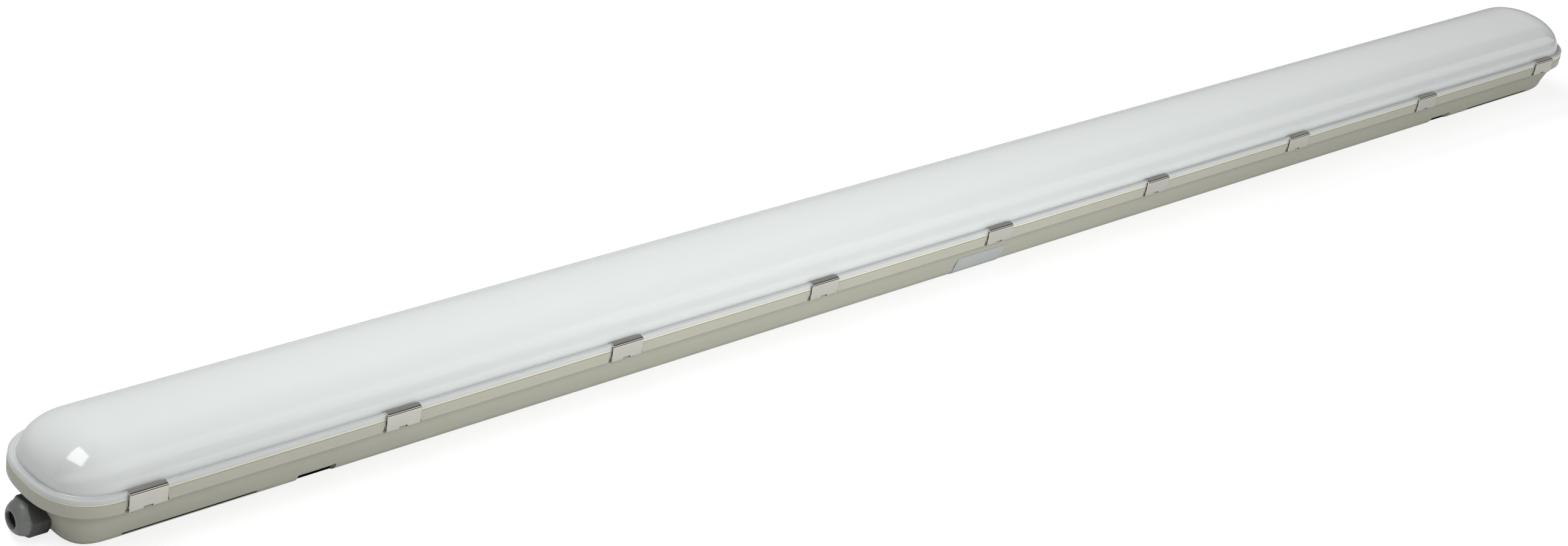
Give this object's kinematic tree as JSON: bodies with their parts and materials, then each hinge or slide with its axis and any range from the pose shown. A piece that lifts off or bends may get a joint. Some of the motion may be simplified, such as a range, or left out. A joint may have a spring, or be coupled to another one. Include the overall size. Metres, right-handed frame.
{
  "type": "vapor tight light fixture",
  "caption": "Long slim weatherproof batten light: opal domed diffuser with round ends, grey moulded housing, steel spring clips along both sides and a cable gland at its end.",
  "frame": {"origin": "centre of the flat back face, where the fixture lies or is fixed to a ceiling", "axes": "+X along the length, away from the cable gland; +Y across; +Z from the back towards the diffuser, which is the lit side"},
  "size_m": [1.5058, 0.09, 0.0639],
  "materials": {
    "housing": "moulded, fine satin grain",
    "gasket": "soft foamed seal, matt",
    "diffuser": "opal, glossy",
    "clips": "bright rolled stainless sheet",
    "gland": "moulded, satin",
    "seal": "soft, matt",
    "tray": "white powder coat",
    "boards": "white solder mask",
    "screws": "zinc plated",
    "driver": "white, satin",
    "circuit": "green circuit board",
    "terminal": "white, satin",
    "label": "plain film",
    "lead_live": "brown insulation",
    "lead_neutral": "blue insulation",
    "lead_earth": "green insulation",
    "lead_plus": "red insulation",
    "lead_minus": "black insulation"
  },
  "bodies": {
    "housing_group": {"housing": "housing", "gasket": "gasket", "label": "label", "gland_body": "gland", "gland_seal": "seal", "gland_washer": "seal", "gear_tray": "tray", "tray_screw_1": "screws", "tray_screw_2": "screws", "tray_screw_3": "screws", "tray_screw_4": "screws", "led_board_1": "boards", "led_board_2": "boards", "led_board_3": "boards", "led_link_1": "terminal", "led_link_2": "terminal", "board_screw_1": "screws", "board_screw_2": "screws", "board_screw_3": "screws", "board_screw_4": "screws", "board_screw_5": "screws", "board_screw_6": "screws", "driver_case": "driver", "driver_lid": "driver", "driver_board": "circuit", "driver_screw_1": "screws", "driver_screw_2": "screws", "terminal_block": "terminal", "terminal_screw_1": "screws", "terminal_screw_2": "screws", "terminal_screw_3": "screws", "earth_screw": "screws", "lead_live": "lead_live", "lead_neutral": "lead_neutral", "lead_earth": "lead_earth", "lead_plus": "lead_plus", "lead_minus": "lead_minus"},
    "diffuser_group": {"diffuser": "diffuser"},
    "clip_front_1_group": {"clip_front_1": "clips"},
    "clip_front_2_group": {"clip_front_2": "clips"},
    "clip_front_3_group": {"clip_front_3": "clips"},
    "clip_front_4_group": {"clip_front_4": "clips"},
    "clip_front_5_group": {"clip_front_5": "clips"},
    "clip_front_6_group": {"clip_front_6": "clips"},
    "clip_front_7_group": {"clip_front_7": "clips"},
    "clip_front_8_group": {"clip_front_8": "clips"},
    "clip_front_9_group": {"clip_front_9": "clips"},
    "clip_back_1_group": {"clip_back_1": "clips"},
    "clip_back_2_group": {"clip_back_2": "clips"},
    "clip_back_3_group": {"clip_back_3": "clips"},
    "clip_back_4_group": {"clip_back_4": "clips"},
    "clip_back_5_group": {"clip_back_5": "clips"},
    "clip_back_6_group": {"clip_back_6": "clips"},
    "clip_back_7_group": {"clip_back_7": "clips"},
    "clip_back_8_group": {"clip_back_8": "clips"},
    "clip_back_9_group": {"clip_back_9": "clips"},
    "gland_nut_group": {"gland_nut": "gland"}
  },
  "joints": [
    {"name": "diffuser_lift", "type": "slide", "parent": "housing_group", "child": "diffuser_group", "axis": [0, 0, 1], "range_m": [0, 0.01]},
    {"name": "clip_front_1_swing", "type": "hinge", "parent": "housing_group", "child": "clip_front_1_group", "pos_m": [-0.696, -0.0433, 0.03042], "axis": [1, 0, 0], "range_deg": [0, 150.1]},
    {"name": "clip_front_2_swing", "type": "hinge", "parent": "housing_group", "child": "clip_front_2_group", "pos_m": [-0.522, -0.0433, 0.03042], "axis": [1, 0, 0], "range_deg": [0, 150.1]},
    {"name": "clip_front_3_swing", "type": "hinge", "parent": "housing_group", "child": "clip_front_3_group", "pos_m": [-0.348, -0.0433, 0.03042], "axis": [1, 0, 0], "range_deg": [0, 150.1]},
    {"name": "clip_front_4_swing", "type": "hinge", "parent": "housing_group", "child": "clip_front_4_group", "pos_m": [-0.174, -0.0433, 0.03042], "axis": [1, 0, 0], "range_deg": [0, 150.1]},
    {"name": "clip_front_5_swing", "type": "hinge", "parent": "housing_group", "child": "clip_front_5_group", "pos_m": [0, -0.0433, 0.03042], "axis": [1, 0, 0], "range_deg": [0, 150.1]},
    {"name": "clip_front_6_swing", "type": "hinge", "parent": "housing_group", "child": "clip_front_6_group", "pos_m": [0.174, -0.0433, 0.03042], "axis": [1, 0, 0], "range_deg": [0, 150.1]},
    {"name": "clip_front_7_swing", "type": "hinge", "parent": "housing_group", "child": "clip_front_7_group", "pos_m": [0.348, -0.0433, 0.03042], "axis": [1, 0, 0], "range_deg": [0, 150.1]},
    {"name": "clip_front_8_swing", "type": "hinge", "parent": "housing_group", "child": "clip_front_8_group", "pos_m": [0.522, -0.0433, 0.03042], "axis": [1, 0, 0], "range_deg": [0, 150.1]},
    {"name": "clip_front_9_swing", "type": "hinge", "parent": "housing_group", "child": "clip_front_9_group", "pos_m": [0.696, -0.0433, 0.03042], "axis": [1, 0, 0], "range_deg": [0, 150.1]},
    {"name": "clip_back_1_swing", "type": "hinge", "parent": "housing_group", "child": "clip_back_1_group", "pos_m": [-0.696, 0.0433, 0.03042], "axis": [-1, 0, 0], "range_deg": [0, 150.1]},
    {"name": "clip_back_2_swing", "type": "hinge", "parent": "housing_group", "child": "clip_back_2_group", "pos_m": [-0.522, 0.0433, 0.03042], "axis": [-1, 0, 0], "range_deg": [0, 150.1]},
    {"name": "clip_back_3_swing", "type": "hinge", "parent": "housing_group", "child": "clip_back_3_group", "pos_m": [-0.348, 0.0433, 0.03042], "axis": [-1, 0, 0], "range_deg": [0, 150.1]},
    {"name": "clip_back_4_swing", "type": "hinge", "parent": "housing_group", "child": "clip_back_4_group", "pos_m": [-0.174, 0.0433, 0.03042], "axis": [-1, 0, 0], "range_deg": [0, 150.1]},
    {"name": "clip_back_5_swing", "type": "hinge", "parent": "housing_group", "child": "clip_back_5_group", "pos_m": [0, 0.0433, 0.03042], "axis": [-1, 0, 0], "range_deg": [0, 150.1]},
    {"name": "clip_back_6_swing", "type": "hinge", "parent": "housing_group", "child": "clip_back_6_group", "pos_m": [0.174, 0.0433, 0.03042], "axis": [-1, 0, 0], "range_deg": [0, 150.1]},
    {"name": "clip_back_7_swing", "type": "hinge", "parent": "housing_group", "child": "clip_back_7_group", "pos_m": [0.348, 0.0433, 0.03042], "axis": [-1, 0, 0], "range_deg": [0, 150.1]},
    {"name": "clip_back_8_swing", "type": "hinge", "parent": "housing_group", "child": "clip_back_8_group", "pos_m": [0.522, 0.0433, 0.03042], "axis": [-1, 0, 0], "range_deg": [0, 150.1]},
    {"name": "clip_back_9_swing", "type": "hinge", "parent": "housing_group", "child": "clip_back_9_group", "pos_m": [0.696, 0.0433, 0.03042], "axis": [-1, 0, 0], "range_deg": [0, 150.1]},
    {"name": "gland_nut_turn", "type": "hinge", "parent": "housing_group", "child": "gland_nut_group", "pos_m": [-0.7425, 0, 0.013], "axis": [-1, 0, 0], "range_deg": [0, 360]}
  ],
  "couplings": [
    {"joint": "clip_front_1_swing", "follows": "diffuser_lift", "rad_per_m": 261.8},
    {"joint": "clip_front_2_swing", "follows": "diffuser_lift", "rad_per_m": 261.8},
    {"joint": "clip_front_3_swing", "follows": "diffuser_lift", "rad_per_m": 261.8},
    {"joint": "clip_front_4_swing", "follows": "diffuser_lift", "rad_per_m": 261.8},
    {"joint": "clip_front_5_swing", "follows": "diffuser_lift", "rad_per_m": 261.8},
    {"joint": "clip_front_6_swing", "follows": "diffuser_lift", "rad_per_m": 261.8},
    {"joint": "clip_front_7_swing", "follows": "diffuser_lift", "rad_per_m": 261.8},
    {"joint": "clip_front_8_swing", "follows": "diffuser_lift", "rad_per_m": 261.8},
    {"joint": "clip_front_9_swing", "follows": "diffuser_lift", "rad_per_m": 261.8},
    {"joint": "clip_back_1_swing", "follows": "diffuser_lift", "rad_per_m": 261.8},
    {"joint": "clip_back_2_swing", "follows": "diffuser_lift", "rad_per_m": 261.8},
    {"joint": "clip_back_3_swing", "follows": "diffuser_lift", "rad_per_m": 261.8},
    {"joint": "clip_back_4_swing", "follows": "diffuser_lift", "rad_per_m": 261.8},
    {"joint": "clip_back_5_swing", "follows": "diffuser_lift", "rad_per_m": 261.8},
    {"joint": "clip_back_6_swing", "follows": "diffuser_lift", "rad_per_m": 261.8},
    {"joint": "clip_back_7_swing", "follows": "diffuser_lift", "rad_per_m": 261.8},
    {"joint": "clip_back_8_swing", "follows": "diffuser_lift", "rad_per_m": 261.8},
    {"joint": "clip_back_9_swing", "follows": "diffuser_lift", "rad_per_m": 261.8}
  ]
}
